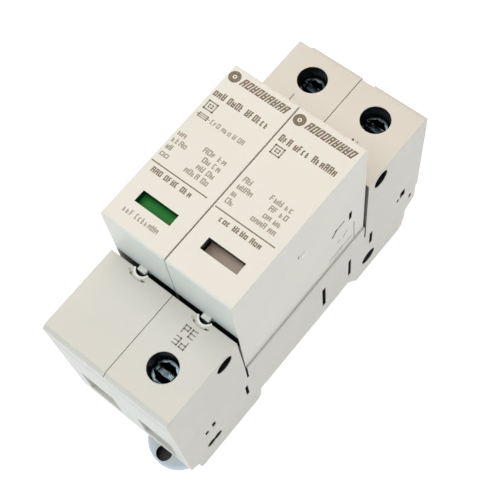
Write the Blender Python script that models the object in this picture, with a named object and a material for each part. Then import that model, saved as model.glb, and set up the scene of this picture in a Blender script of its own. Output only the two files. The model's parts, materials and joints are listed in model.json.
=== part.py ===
"""Two-pole plug-in surge protector for a DIN rail.

It lies on its back: +X is to the right seen from the front, +Y towards the line and neutral
terminals, +Z out of the front. The rear plane is Z = 0, and the origin is the middle of the
outline, latch foot included. Dimensions are in millimetres and become metres in to_metres().
"""

import math

import bmesh
import bpy
from mathutils import Vector

# ---- driving dimensions, millimetres ---------------------------------------------------------

MM = 0.001
GAP = 0.3                      # clearance between neighbouring pieces
POLE_SEAM = 0.06               # half the gap between the two poles' housings
SEGMENTS = 48                  # sides of a round piece
MIDDLE_HEIGHT = 1.6            # Y of the housing's mid-height in the part's frame

POLE_WIDTH = 17.9
POLE_CENTRE = POLE_WIDTH / 2
END_Y = 45.3                   # end faces, from the housing's mid-height
SHOULDER_END_Y = 44.7          # end of the shoulder, inside the proud lip
SHOULDER_Z = 50.0
FRONT_Z = 67.0
RAIL_SEAT_Z = 6.8
RAIL_LOW_Y = -18.7
RAIL_HIGH_Y = 16.9
SEAT_LOW_Y = -16.7             # the rail bears on a pad clear of the foot's nose and the hook
SEAT_HIGH_Y = 14.9
SEAT_RELIEF_Z = 7.1
BAY_LOW_Y = -22.4
BAY_HIGH_Y = 23.3
DECK_Z = 30.2
DECK_THICKNESS = 1.6
SIDE_WALL = 1.6
END_WALL = 1.8
CHAMBER_TOP_Z = 40.0
LOWER_STEP_Z = 8.2             # the lower end steps in behind this height
LOWER_REAR_Y = -42.4
UPPER_REAR_Y = 41.0
REAR_STEP_Z = 5.2              # below this the side faces are set in
REAR_STEP = 0.35

HOOK_NOSE_Y = 15.2             # fixed hook over the rail's upper flange
HOOK_ROOT_Y = 22.0
HOOK_LOW_Z = 0.6
HOOK_HIGH_Z = 5.3
HOOK_NEAR_X = 3.2
HOOK_FAR_X = 14.8

NOTCH_WIDTH = 3.3              # groove beside the lip at the upper end of a pole
LIP_FOOT_Z = 19.0
END_LINE_Z = (43.0, 43.6)      # fine groove across the lower end face
END_LINE_DEPTH = 0.25
END_LINE_MARGIN = 1.2

SCREW_HIGH_Y = 37.7
SCREW_LOW_Y = -36.0
SCREW_HOLE_R = 3.55
SCREW_HEAD_R = 3.2
SCREW_HEAD_TOP_Z = 46.2
SCREW_HEAD_HEIGHT = 3.4
SHANK_R = 2.3
NECK_R = 2.7
TONGUE_Z = 22.8                # underside of a busbar tongue in its terminal
BAR_THICKNESS = 1.8
BAR_WIDTH = 5.8
LOW_BAR_Z = 11.0               # underside of a busbar below the deck
LINK_LOW_Y = -5.0              # bar that links the neutral contacts of the two poles
LINK_HIGH_Y = 1.0

CAGE_HALF_WIDTH = 4.5
CAGE_LENGTH = 7.4
CAGE_BASE_Z = 11.4
CAGE_WALL = 1.4
CAGE_WINDOW_TOP_Z = 25.3
CAGE_TOP_Z = 28.8

ENTRY_HALF_WIDTH = 4.2
ENTRY_LOW_Z = 13.2
ENTRY_HIGH_Z = 24.0
FUNNEL = 0.9                   # extra width of a wire entry's mouth
BLIND_DEPTH = 3.6
CHAMBER_HALF_LENGTH = 5.2      # from the screw's axis to the clamp chamber's inner wall
CHAMBER_SIDE_ROOM = 0.8
BAR_SIDE_ROOM = 0.7
BAR_ROOM = 0.4                 # above and below a busbar

CODING_HOLE_YS = (-34.9, -37.2)
CODING_HOLE_Z = 10.6
CODING_HOLE_R = 1.45
LINK_HOLE = (25.3, 8.8, 2.5)
# grooves in the outer side faces that carry on the gaps at the module's ends, as (low y, high y)
GAP_GROOVES = ((-22.0, -21.4), (22.75, 23.3))
GAP_GROOVE_LOW_Z = 24.4
# slots through the outer side faces, as (y, low z, high z, width)
SIDE_VENTS = ((-22.9, 13.6, 19.8, 0.9), (7.0, 11.8, 22.4, 1.3), (17.3, 11.8, 20.8, 1.1))
# small blind recesses in the outer side faces, as (y, low z, high z, width)
LOWER_MARKS = ((-34.8, 19.4, 22.0, 1.1), (-37.3, 19.2, 21.2, 1.0))
UPPER_MARKS = ((25.8, 16.4, 22.4, 1.2), (38.5, 21.6, 24.8, 2.0), (36.7, 21.2, 22.6, 0.9))
END_MARK = (42.3, 15.2, 17.2, 1.0)

RIVET_Z = 46.6
RIVET_LOW_Y = -27.0
RIVET_HIGH_Y = 28.0
RIVET_HOLE_R = 2.35
RIVET_R = 2.0
RIVET_BORE_R = 1.2
RIVET_HALF_LENGTH = 15.6

PARTITION_HALF = 0.65
PARTITION_INSET = 1.6          # from the housing's outline to the partition's edge

MODULE_SIDE = 17.45
MODULE_SEAM = 0.15             # half the gap between the two modules
MODULE_LOW_Y = -21.4
MODULE_HIGH_Y = 22.7
MODULE_BASE_Z = 30.5
CAP_WALL = 1.3
CAP_FRONT_WALL = 1.6
MODULE_CENTRE = (MODULE_SIDE + MODULE_SEAM) / 2
CAP_EDGE = 0.7                 # rounding of a cap's upper and lower front edges
GRIP_DEPTH = 0.2               # shallow recess near the upper end of a cap's side
GRIP_Z = (33.0, 33.8)
GRIP_STRETCHES = ((9.9, 18.3),)
CAP_VENT_Y = 17.4
CAP_VENT_Z = (43.2, 46.8)
PLATE_LOW = 0.3                # a chassis plate's faces, above the cap's foot
PLATE_HIGH = 2.1
WINDOW_HALF_WIDTH = 4.75
WINDOW_LOW_Y = -14.95
WINDOW_HIGH_Y = -12.05

CONTACT_Y = 14.0               # blades and forks, above and below the middle
BLADE_THICKNESS = 1.2
BLADE_WIDTH = 7.0
BLADE_TIP_Z = 17.6
FORK_BASE_Z = LOW_BAR_Z + BAR_THICKNESS + GAP
FORK_TOP_Z = 25.6
FORK_LENGTH = 6.4
FORK_JAW = 0.9
FORK_HALF_GAP = 0.95
FORK_FLARE = 0.5

CATCH_X = 9.05
CATCH_Z = 50.2
CATCH_NOTCH_R = 1.6
CATCH_LEAF_LOW_Z = 38.0
CATCH_LEAF_HALF = 2.2
CATCH_NOSE_HALF = 1.1
CATCH_THICKNESS = 0.8

FOOT_X = 9.0
FOOT_DISC_Y = -41.1
FOOT_DISC_R = 7.4
FOOT_LOW_Z = 1.2
FOOT_HIGH_Z = 5.4
FOOT_NOSE_Y = -16.9
FOOT_HOLE_Y = -46.0
FOOT_HOLE_R = 2.0
FOOT_HOLE_FLOOR_Z = 2.0        # the hole is blind
FOOT_RIM = 1.2                 # slope of the disc's front edge
FOOT_STEM_HALF = 4.6
FOOT_DISC_TRIM_Y = -37.0       # the disc is cut off straight where the stem leaves it
FOOT_WINDOW_LOW_Y = -38.6
FOOT_WINDOW_HIGH_Y = -24.0
PEG_LOW_Y = -36.4              # fixed peg that the foot's spring bears on
PEG_HIGH_Y = -34.8
PEG_HALF = 1.6

ARM_PIVOT_Y = -6.5
ARM_PIVOT_Z = 44.5
ARM_LENGTH = 15.7
PIN_R = 0.8
ARM_X = (-14.1, -12.9)
ARM_TIP_X = -10.9
ARM_FOOT_Y = 5.6
WALL_X = (-15.8, -14.5)        # chassis wall that holds the arm's pin
VARISTOR_X = (-8.9, -4.0)
VARISTOR_Y = (-15.5, 17.0)
VARISTOR_Z = (35.4, 60.4)
FLAG_Y = (-15.6, -4.2)
FLAG_Z = (64.1, 65.0)
FLAG_PRONGS = ((-8.6, -7.7), (-5.3, -4.4))

GAP_TUBE_Z = 48.0
GAP_TUBE_R = 5.1
GAP_TUBE_HALF = 6.6
GAP_CAP_NEAR = 6.9
GAP_CAP_FAR = 10.1


# ---- shape helpers ---------------------------------------------------------------------------

def to_metres(x, y, z):
    return Vector((x * MM, (y + MIDDLE_HEIGHT) * MM, z * MM))


def clear_scene():
    for item in list(bpy.data.objects):
        bpy.data.objects.remove(item, do_unlink=True)


def make_object(name, shape):
    mesh = bpy.data.meshes.new(name)
    bmesh.ops.recalc_face_normals(shape, faces=shape.faces)
    shape.to_mesh(mesh)
    shape.free()
    item = bpy.data.objects.new(name, mesh)
    bpy.context.scene.collection.objects.link(item)
    return item


def prism(name, outline, axis, low, high):
    """Extrude an outline along an axis. The outline's two values are the other two axes in order."""
    shape = bmesh.new()
    rings = []
    for level in (low, high):
        ring = []
        for first, second in outline:
            place = {"X": (level, first, second), "Y": (first, level, second), "Z": (first, second, level)}
            ring.append(shape.verts.new(to_metres(*place[axis])))
        rings.append(ring)
    shape.faces.new(rings[0])
    shape.faces.new(rings[1])
    count = len(outline)
    for index in range(count):
        after = (index + 1) % count
        shape.faces.new((rings[0][index], rings[0][after], rings[1][after], rings[1][index]))
    return make_object(name, shape)


def box(name, x, y, z):
    """A box from three (low, high) pairs."""
    outline = [(x[0], y[0]), (x[1], y[0]), (x[1], y[1]), (x[0], y[1])]
    return prism(name, outline, "Z", z[0], z[1])


def circle(centre, radius, segments=SEGMENTS):
    points = []
    for index in range(segments):
        angle = 2 * math.pi * index / segments
        points.append((centre[0] + radius * math.cos(angle), centre[1] + radius * math.sin(angle)))
    return points


def rod(name, axis, centre, radius, low, high, segments=SEGMENTS):
    return prism(name, circle(centre, radius, segments), axis, low, high)


def turned_disc(name, centre, rings, segments):
    """A round piece about Z from its (radius, z) rings, listed from the rear to the front."""
    shape = bmesh.new()
    levels = []
    for radius, z in rings:
        levels.append([shape.verts.new(to_metres(x, y, z)) for x, y in circle(centre, radius, segments)])
    shape.faces.new(levels[0])
    shape.faces.new(levels[-1])
    for near, far in zip(levels, levels[1:]):
        for index in range(segments):
            after = (index + 1) % segments
            shape.faces.new((near[index], near[after], far[after], far[index]))
    return make_object(name, shape)


def evaluated_copy(item):
    graph = bpy.context.evaluated_depsgraph_get()
    return bpy.data.meshes.new_from_object(item.evaluated_get(graph))


def combine(item, tools, operation):
    """Join tools to an item, or cut them from it, and remove them."""
    for tool in tools:
        modifier = item.modifiers.new(operation.lower(), "BOOLEAN")
        modifier.operation = operation
        modifier.object = tool
    result = evaluated_copy(item)
    item.modifiers.clear()
    name = item.data.name
    item.data = result
    result.name = name
    for tool in tools:
        bpy.data.objects.remove(tool, do_unlink=True)
    return item


def cut(item, tools):
    return combine(item, tools, "DIFFERENCE")


def join(item, tools):
    return combine(item, tools, "UNION")


def bent_strip(name, path, thickness, axis, low, high):
    """A flat strip of even thickness bent along a path, and extruded along an axis."""
    points = [Vector(point) for point in path]
    left = []
    right = []
    before = (points[1] - points[0]).normalized()
    for index, here in enumerate(points):
        after = before
        if index < len(points) - 1:
            after = (points[index + 1] - here).normalized()
        along = (before + after).normalized()
        reach = Vector((-along.y, along.x)) * (thickness / 2 / along.dot(after))
        left.append(tuple(here + reach))
        right.append(tuple(here - reach))
        before = after
    return prism(name, left + right[::-1], axis, low, high)


def helical_spring(name, start, end, radius, wire, turns, surface):
    """Coil of round wire from one end to the other."""
    steps = 10
    sides = 6
    start = Vector(start)
    axis = Vector(end) - start
    across = Vector((0, 0, 1))
    third = across.cross(axis.normalized())
    shape = bmesh.new()
    rings = []
    total = turns * steps
    for index in range(total + 1):
        angle = 2 * math.pi * index / steps
        outward = across * math.cos(angle) + third * math.sin(angle)
        centre = start + axis * index / total + outward * radius
        ring = []
        for side in range(sides):
            turn = 2 * math.pi * side / sides
            offset = outward * math.cos(turn) * wire + axis.normalized() * math.sin(turn) * wire
            ring.append(shape.verts.new(to_metres(*(centre + offset))))
        rings.append(ring)
    for near, far in zip(rings, rings[1:]):
        for side in range(sides):
            after = (side + 1) % sides
            shape.faces.new((near[side], near[after], far[after], far[side]))
    shape.faces.new(rings[0][::-1])
    shape.faces.new(rings[-1])
    return finish(make_object(name, shape), surface)


def shade(item):
    item.data.shade_smooth()
    item.data.set_sharp_from_angle(angle=math.radians(35))
    return item


def material(name, colour, roughness, metallic=0.0):
    made = bpy.data.materials.new(name)
    made.use_nodes = True
    shader = made.node_tree.nodes["Principled BSDF"]
    shader.inputs["Base Color"].default_value = (*colour, 1.0)
    shader.inputs["Roughness"].default_value = roughness
    shader.inputs["Metallic"].default_value = metallic
    return made


def finish(item, surface, name=None):
    """Give a finished piece its name, its own copy of a material and smooth shading."""
    if name:
        item.name = name
        item.data.name = name
    own = surface.copy()
    own.name = item.name
    item.data.materials.clear()
    item.data.materials.append(own)
    return shade(item)


def set_origin(item, x, y, z):
    """Move an object's origin onto its joint's axis and leave its shape where it is."""
    target = to_metres(x, y, z)
    for vertex in item.data.vertices:
        vertex.co -= target
    item.location = target
    return item


# ---- the housings of the two poles -----------------------------------------------------------

def housing_outline():
    """Side view of a pole's housing, with the rail recess behind and the module bay in front."""
    edge_z = SHOULDER_Z - 0.5
    lower_end = [(-END_Y, SHOULDER_Z - 0.7), (-END_Y, LOWER_STEP_Z), (-END_Y + 1.7, LOWER_STEP_Z - 1.2)]
    rear_y = LOWER_REAR_Y
    lower_rear = [(rear_y - 0.6, 6.2), (rear_y, 5.6), (rear_y, 0.9), (rear_y + 0.9, 0)]
    rail_recess = [
        (RAIL_LOW_Y - 1.2, 0),
        (RAIL_LOW_Y, 1.6),
        (RAIL_LOW_Y, SEAT_RELIEF_Z),
        (SEAT_LOW_Y, SEAT_RELIEF_Z),
        (SEAT_LOW_Y, RAIL_SEAT_Z),
        (SEAT_HIGH_Y, RAIL_SEAT_Z),
        (SEAT_HIGH_Y, SEAT_RELIEF_Z),
        (RAIL_HIGH_Y, SEAT_RELIEF_Z),
        (RAIL_HIGH_Y + 4, 0),
    ]
    upper_rear = [(UPPER_REAR_Y - 1.4, 0), (UPPER_REAR_Y, 1.6), (UPPER_REAR_Y, 9.6)]
    upper_end = [(SHOULDER_END_Y, 12.2), (SHOULDER_END_Y, LIP_FOOT_Z - 0.6), (END_Y, LIP_FOOT_Z)]
    shoulder = [(END_Y, SHOULDER_Z - 0.7), (SHOULDER_END_Y, edge_z), (SHOULDER_END_Y - 0.4, SHOULDER_Z)]
    bay = [(BAY_HIGH_Y, SHOULDER_Z), (BAY_HIGH_Y, DECK_Z), (BAY_LOW_Y + 0.5, DECK_Z), (BAY_LOW_Y, SHOULDER_Z)]
    last = [(-SHOULDER_END_Y + 0.4, SHOULDER_Z), (-SHOULDER_END_Y, edge_z)]
    return lower_end + lower_rear + rail_recess + upper_rear + upper_end + shoulder + bay + last


def span(side, near, far):
    """Low and high X of a stretch measured outwards from the seam between the poles."""
    return (side * near, side * far) if side > 0 else (side * far, side * near)


def around(centre, half):
    return (centre - half, centre + half)


def terminal_cutters(side, screw_y, end_sign):
    """Screw shaft, clamp chamber, wire entry and busbar passage of one terminal."""
    x = side * POLE_CENTRE
    end_y = end_sign * END_Y
    mouth_y = sorted((end_y - end_sign, end_y + end_sign))
    wall_y = sorted((end_y - end_sign * (END_WALL + 1), end_y + end_sign))
    chamber_y = sorted((screw_y - end_sign * CHAMBER_HALF_LENGTH, end_y - end_sign * END_WALL))
    knee_y = sorted((screw_y - end_sign * 4, screw_y - end_sign * 10.5))
    bar_y = sorted((screw_y - end_sign * 10, end_sign * 20))
    floor_z = LOW_BAR_Z - BAR_ROOM
    ceiling_z = LOW_BAR_Z + BAR_THICKNESS + BAR_ROOM
    head_seat_z = SCREW_HEAD_TOP_Z - SCREW_HEAD_HEIGHT - GAP
    chamber_x = around(x, CAGE_HALF_WIDTH + CHAMBER_SIDE_ROOM)
    bar_x = around(x, BAR_WIDTH / 2 + BAR_SIDE_ROOM)
    mouth_x = around(x, ENTRY_HALF_WIDTH + FUNNEL)
    return [
        rod("shaft", "Z", (x, screw_y), SCREW_HOLE_R, head_seat_z, SHOULDER_Z + 1),
        rod("neck", "Z", (x, screw_y), NECK_R, CHAMBER_TOP_Z - 1, SHOULDER_Z - 4),
        box("chamber", chamber_x, chamber_y, (floor_z, CHAMBER_TOP_Z)),
        box("knee_room", bar_x, knee_y, (floor_z, TONGUE_Z + 2.8)),
        box("bar_room", bar_x, bar_y, (floor_z, ceiling_z)),
        box("mouth", mouth_x, mouth_y, (ENTRY_LOW_Z - FUNNEL, ENTRY_HIGH_Z + FUNNEL)),
        box("passage", around(x, ENTRY_HALF_WIDTH), wall_y, (ENTRY_LOW_Z, ENTRY_HIGH_Z)),
    ]


def side_face_cutters(side):
    """Small moulded holes and slots in the pole's outer face."""
    face = side * POLE_WIDTH
    made = []
    shallow = sorted((face - side * 0.9, face + side))
    deep = sorted((face - side * 2.6, face + side))
    through = sorted((face - side * (SIDE_WALL + 1), face + side))
    for y in CODING_HOLE_YS:
        made.append(rod("coding_hole", "X", (y, CODING_HOLE_Z), CODING_HOLE_R, *shallow, segments=20))
    link_y, link_z, link_radius = LINK_HOLE
    made.append(rod("link_hole", "X", (link_y, link_z), link_radius, *deep, segments=32))
    for y, z_low, z_high, width in SIDE_VENTS:
        made.append(box("vent", through, around(y, width / 2), (z_low, z_high)))
    for y, z_low, z_high, width in LOWER_MARKS + UPPER_MARKS + (END_MARK,):
        made.append(box("mark", shallow, around(y, width / 2), (z_low, z_high)))
    for stretch in GAP_GROOVES:
        made.append(box("gap_groove", shallow, stretch, (GAP_GROOVE_LOW_Z, DECK_Z + 1)))
    step_x = sorted((face - side * REAR_STEP, face + side))
    made.append(box("rear_step", step_x, (-60, 60), (-1, REAR_STEP_Z)))
    return made


def pole_housing(name, side, surface):
    """One pole's moulded housing: closed on its outer side, open towards the other pole."""
    item = prism(name, housing_outline(), "X", *span(side, POLE_SEAM, POLE_WIDTH))
    join(item, [hook_rib(side)])

    low_y = BAY_LOW_Y + 1.2
    high_y = BAY_HIGH_Y - 0.5
    floor_z = LOW_BAR_Z - BAR_ROOM
    under_deck_top = DECK_Z - DECK_THICKNESS
    inner = span(side, -1, POLE_WIDTH - SIDE_WALL)
    tools = [box("contact_chamber", inner, (low_y, high_y), (floor_z, under_deck_top))]
    tools += terminal_cutters(side, SCREW_HIGH_Y, 1)
    if side > 0:
        tools += terminal_cutters(side, SCREW_LOW_Y, -1)
    else:
        tools += blind_entry_cutters(side)
    slot_x = around(side * POLE_CENTRE, 1.7)
    for y in (CONTACT_Y, -CONTACT_Y):
        blade_y = around(y, BLADE_WIDTH / 2 + 1)
        tools.append(box("blade_slot", slot_x, blade_y, (under_deck_top - 1, DECK_Z + 1)))
    for y in (RIVET_LOW_Y, RIVET_HIGH_Y):
        tools.append(rod("rivet_hole", "X", (y, RIVET_Z), RIVET_HOLE_R, *span(side, -1, POLE_WIDTH + 1)))
    left_x = 0 if side > 0 else -POLE_WIDTH
    groove_x = (left_x - 1, left_x + NOTCH_WIDTH)
    tools.append(box("lip_groove", groove_x, (SHOULDER_END_Y, END_Y + 1), (LIP_FOOT_Z, SHOULDER_Z + 1)))
    line_x = (left_x + END_LINE_MARGIN, left_x + POLE_WIDTH - END_LINE_MARGIN)
    tools.append(box("end_line", line_x, (-END_Y - 1, -END_Y + END_LINE_DEPTH), END_LINE_Z))
    notch = (side * CATCH_X, BAY_LOW_Y + 0.6)
    tools.append(rod("catch_notch", "Z", notch, CATCH_NOTCH_R, SHOULDER_Z - 5, SHOULDER_Z + 1))
    tools.append(partition_pocket(side))
    tools += side_face_cutters(side)
    if side > 0:
        tools += foot_channel_cutters()
    cut(item, tools)
    return finish(item, surface)


def hook_rib(side):
    """Fixed hook that holds the upper flange of the rail."""
    profile = [
        (HOOK_ROOT_Y, HOOK_LOW_Z),
        (HOOK_NOSE_Y + 3.4, HOOK_LOW_Z),
        (HOOK_NOSE_Y, HOOK_LOW_Z + 2.3),
        (HOOK_NOSE_Y, HOOK_HIGH_Z),
        (HOOK_ROOT_Y, HOOK_HIGH_Z),
    ]
    return prism("hook", profile, "X", *span(side, HOOK_NEAR_X, HOOK_FAR_X))


def blind_entry_cutters(side):
    """Moulded recess at the end that has no terminal behind it."""
    x = side * POLE_CENTRE
    recess_y = (-END_Y - 1, -END_Y + BLIND_DEPTH)
    wide = ENTRY_HALF_WIDTH + FUNNEL
    core_x = span(side, -1, POLE_WIDTH - SIDE_WALL)
    core_y = (-END_Y + BLIND_DEPTH + END_WALL, BAY_LOW_Y - 3)
    return [
        box("blind_entry", around(x, wide), recess_y, (ENTRY_LOW_Z - FUNNEL, ENTRY_HIGH_Z + FUNNEL)),
        box("empty_chamber", core_x, core_y, (LOW_BAR_Z - BAR_ROOM, CHAMBER_TOP_Z)),
    ]


def partition_pocket(side):
    """Shallow pocket in the seam face for half of the partition's thickness."""
    pocket_depth = PARTITION_HALF + GAP
    return prism("pocket", inset_side_view(PARTITION_INSET - GAP), "X", *span(side, -1, pocket_depth))


def inset_side_view(inset):
    """Side view of the partition: the housing's outline below the deck, set in by a margin."""
    low_end = -END_Y + 1 + inset
    high_end = SHOULDER_END_Y - 1 - inset
    top = CHAMBER_TOP_Z + 2 - inset
    deck = DECK_Z - inset
    rail = SEAT_RELIEF_Z + inset
    rear = [(low_end, 10 + inset), (LOWER_REAR_Y + 4, rail), (UPPER_REAR_Y - 4, rail), (high_end, 13 + inset)]
    upper = [(high_end, top), (BAY_HIGH_Y + inset, top), (BAY_HIGH_Y + inset, deck)]
    lower = [(BAY_LOW_Y - inset, deck), (BAY_LOW_Y - inset, top), (low_end, top)]
    return rear + upper + lower


def foot_channel_cutters():
    """Slot for the latch foot, open at the lower end and into the rail recess, round a fixed peg."""
    z = (FOOT_LOW_Z - GAP, FOOT_HIGH_Z + GAP)
    disc = around(FOOT_X, FOOT_DISC_R + GAP)
    stem = around(FOOT_X, FOOT_STEM_HALF + GAP)
    disc_end = FOOT_DISC_TRIM_Y + GAP
    return [
        box("disc_slot", disc, (-END_Y - 1, disc_end), z),
        box("below_peg", stem, (disc_end - 1, PEG_LOW_Y), z),
        box("above_peg", stem, (PEG_HIGH_Y, RAIL_LOW_Y + 1), z),
        box("left_of_peg", (stem[0], FOOT_X - PEG_HALF), (PEG_LOW_Y - 0.1, PEG_HIGH_Y + 0.1), z),
        box("right_of_peg", (FOOT_X + PEG_HALF, stem[1]), (PEG_LOW_Y - 0.1, PEG_HIGH_Y + 0.1), z),
    ]


def pole_partition(surface):
    """Insulating wall between the poles, with a slot for the bar that links them."""
    item = prism("pole_partition", inset_side_view(PARTITION_INSET), "X", -PARTITION_HALF, PARTITION_HALF)
    slot_z = (LOW_BAR_Z - BAR_ROOM, LOW_BAR_Z + BAR_THICKNESS + BAR_ROOM)
    slot = box("slot", (-2, 2), (LINK_LOW_Y - BAR_ROOM, LINK_HIGH_Y + BAR_ROOM), slot_z)
    cut(item, [slot])
    return finish(item, surface)


def hollow_rivet(name, y, surface):
    item = rod(name, "X", (y, RIVET_Z), RIVET_R, -RIVET_HALF_LENGTH, RIVET_HALF_LENGTH, segments=32)
    bore = rod("bore", "X", (y, RIVET_Z), RIVET_BORE_R, -20, 20, segments=24)
    cut(item, [bore])
    return finish(item, surface)


# ---- terminals and busbars -------------------------------------------------------------------

def terminal_screw(name, side, y, surface):
    """Clamp screw with a combined slot and cross recess, turning on its own axis."""
    x = side * POLE_CENTRE
    top = SCREW_HEAD_TOP_Z
    head_base = top - SCREW_HEAD_HEIGHT
    tip = TONGUE_Z + BAR_THICKNESS + GAP
    item = rod(name, "Z", (x, y), SCREW_HEAD_R, head_base, top)
    join(item, [rod("shank", "Z", (x, y), SHANK_R, tip, head_base + 0.5, segments=16)])
    slot = box("slot", around(x, 4), around(y, 0.5), (top - 1.2, top + 1))
    cross = box("cross", around(x, 0.6), around(y, 2.0), (top - 1.9, top + 1))
    second = box("second", around(x, 2.0), around(y, 0.6), (top - 1.9, top + 1))
    cut(item, [slot, cross, second])
    finish(item, surface)
    return set_origin(item, x, y, head_base)


def clamp_cage(name, side, y, surface):
    """Steel cage that rises on the screw and clamps the wire against the tongue."""
    x = side * POLE_CENTRE
    half = CAGE_HALF_WIDTH
    depth = around(y, CAGE_LENGTH / 2)
    item = box(name, around(x, half), depth, (CAGE_BASE_Z, CAGE_TOP_Z))
    window_z = (CAGE_BASE_Z + CAGE_WALL, CAGE_WINDOW_TOP_Z)
    window = box("window", around(x, half - CAGE_WALL + 0.2), around(y, CAGE_LENGTH), window_z)
    thread = rod("thread", "Z", (x, y), SHANK_R + GAP, CAGE_WINDOW_TOP_Z - 1, CAGE_TOP_Z + 1, segments=16)
    cut(item, [window, thread])
    return finish(item, surface)


def bar_path(end_sign, screw_y, inner_y):
    """Side view of a busbar's middle line, from its terminal tongue down to the deck's underside."""
    high = TONGUE_Z + BAR_THICKNESS / 2
    low = LOW_BAR_Z + BAR_THICKNESS / 2
    tongue_tip = screw_y + end_sign * 3.4
    knee = screw_y - end_sign * 6.6
    foot = knee - end_sign * 2.4
    return [(tongue_tip, high), (knee, high), (foot, low), (inner_y, low)]


def busbar(name, side, end_sign, screw_y, inner_y, surface):
    width = around(side * POLE_CENTRE, BAR_WIDTH / 2)
    item = bent_strip(name, bar_path(end_sign, screw_y, inner_y), BAR_THICKNESS, "X", *width)
    return finish(item, surface)


def neutral_busbar(surface):
    """Neutral bar: from its terminal through the partition to the left pole's lower contact."""
    width = around(POLE_CENTRE, BAR_WIDTH / 2)
    path = bar_path(1, SCREW_HIGH_Y, LINK_LOW_Y + 1)
    item = bent_strip("neutral_busbar", path, BAR_THICKNESS, "X", *width)
    z = (LOW_BAR_Z, LOW_BAR_Z + BAR_THICKNESS)
    left_edge = -POLE_CENTRE - BAR_WIDTH / 2
    right_edge = POLE_CENTRE + BAR_WIDTH / 2
    link = box("link", (left_edge, right_edge), (LINK_LOW_Y, LINK_HIGH_Y), z)
    lower_y = (-CONTACT_Y - 4.5, LINK_HIGH_Y - 0.5)
    lower = box("lower", (left_edge, -POLE_CENTRE + BAR_WIDTH / 2), lower_y, z)
    join(item, [link, lower])
    return finish(item, surface)


def contact_fork(name, side, y, surface):
    """U-shaped spring contact that grips a module's blade."""
    x = side * POLE_CENTRE
    inner = FORK_HALF_GAP
    outer = inner + FORK_JAW
    base_z = FORK_BASE_Z + FORK_JAW
    neck_z = FORK_TOP_Z - 2.2
    flared = outer + FORK_FLARE
    outside = [(flared, FORK_BASE_Z), (flared, base_z), (outer, base_z), (outer, neck_z)]
    mouth = [(flared, FORK_TOP_Z), (inner + FORK_FLARE, FORK_TOP_Z)]
    right = outside + mouth + [(inner, neck_z), (inner, base_z)]
    profile = [(x + px, pz) for px, pz in right] + [(x - px, pz) for px, pz in reversed(right)]
    item = prism(name, profile, "Y", *around(y, FORK_LENGTH / 2))
    return finish(item, surface)


# ---- the latch foot --------------------------------------------------------------------------

def latch_foot(surface):
    """Foot that locks under the rail's lower flange. It pulls out downwards against its spring."""
    z = (FOOT_LOW_Z, FOOT_HIGH_Z)
    tip_y = FOOT_NOSE_Y
    root_y = tip_y - 2
    rim_z = FOOT_HIGH_Z - FOOT_RIM * 0.7
    slope = (FOOT_DISC_R - FOOT_RIM * 0.4, FOOT_HIGH_Z - FOOT_RIM * 0.2)
    face = (FOOT_DISC_R - FOOT_RIM, FOOT_HIGH_Z)
    rings = [(FOOT_DISC_R, FOOT_LOW_Z), (FOOT_DISC_R, rim_z), slope, face]
    item = turned_disc("latch_foot", (FOOT_X, FOOT_DISC_Y), rings, 80)
    cut(item, [box("trim", around(FOOT_X, 10), (FOOT_DISC_TRIM_Y, 0), (0, 10))])
    stem_x = around(FOOT_X, FOOT_STEM_HALF)
    stem = box("stem", stem_x, (FOOT_DISC_Y, root_y + 0.6), z)
    slope = [(root_y, z[0]), (root_y + 0.8, z[0]), (tip_y, z[1] - 1), (tip_y, z[1]), (root_y, z[1])]
    join(item, [stem, prism("nose", slope, "X", *stem_x)])
    window = box("spring_window", around(FOOT_X, 2.4), (FOOT_WINDOW_LOW_Y, FOOT_WINDOW_HIGH_Y), (0, 8))
    hole = rod("screwdriver_hole", "Z", (FOOT_X, FOOT_HOLE_Y), FOOT_HOLE_R, FOOT_HOLE_FLOOR_Z, 8)
    cut(item, [window, hole])
    finish(item, surface)
    return set_origin(item, FOOT_X, FOOT_DISC_Y, FOOT_LOW_Z)


# ---- the plug-in modules ---------------------------------------------------------------------

def module_span(side):
    return span(side, MODULE_SEAM, MODULE_SIDE)


def cap_outline():
    """Side view of a module's cap, with its upper and lower front edges rounded."""
    steps = 5
    outline = [(MODULE_LOW_Y, MODULE_BASE_Z), (MODULE_HIGH_Y, MODULE_BASE_Z)]
    for y, start in ((MODULE_HIGH_Y - CAP_EDGE, 0), (MODULE_LOW_Y + CAP_EDGE, math.pi / 2)):
        for step in range(steps + 1):
            turn = start + step / steps * math.pi / 2
            outline.append((y + CAP_EDGE * math.cos(turn), FRONT_Z - CAP_EDGE + CAP_EDGE * math.sin(turn)))
    return outline


def module_cap(name, side, surface):
    """Module's moulded cap, open at the rear, with the status window in its front."""
    x = module_span(side)
    item = prism(name, cap_outline(), "X", *x)
    inside_x = (x[0] + CAP_WALL, x[1] - CAP_WALL)
    inside_y = (MODULE_LOW_Y + CAP_WALL, MODULE_HIGH_Y - CAP_WALL)
    centre = side * MODULE_CENTRE
    catch_x = side * CATCH_X
    face = side * MODULE_SIDE
    catch_x = around(catch_x, CATCH_NOSE_HALF + 0.4)
    catch_y = (MODULE_LOW_Y - 1, MODULE_LOW_Y + 2)
    window_x = around(centre, WINDOW_HALF_WIDTH)
    tools = [
        box("inside", inside_x, inside_y, (MODULE_BASE_Z - 1, FRONT_Z - CAP_FRONT_WALL)),
        box("window", window_x, (WINDOW_LOW_Y, WINDOW_HIGH_Y), (FRONT_Z - 7, FRONT_Z + 3)),
        box("catch_slot", catch_x, catch_y, (CATCH_Z - 1.6, CATCH_Z + 0.6)),
    ]
    outside = sorted((face - side * GRIP_DEPTH, face + side))
    for stretch in GRIP_STRETCHES:
        tools.append(box("grip", outside, stretch, GRIP_Z))
    vent_x = sorted((face - side * 3, face + side))
    tools.append(box("vent", vent_x, around(CAP_VENT_Y, 0.5), CAP_VENT_Z))
    cut(item, tools)
    return finish(item, surface)


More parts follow.
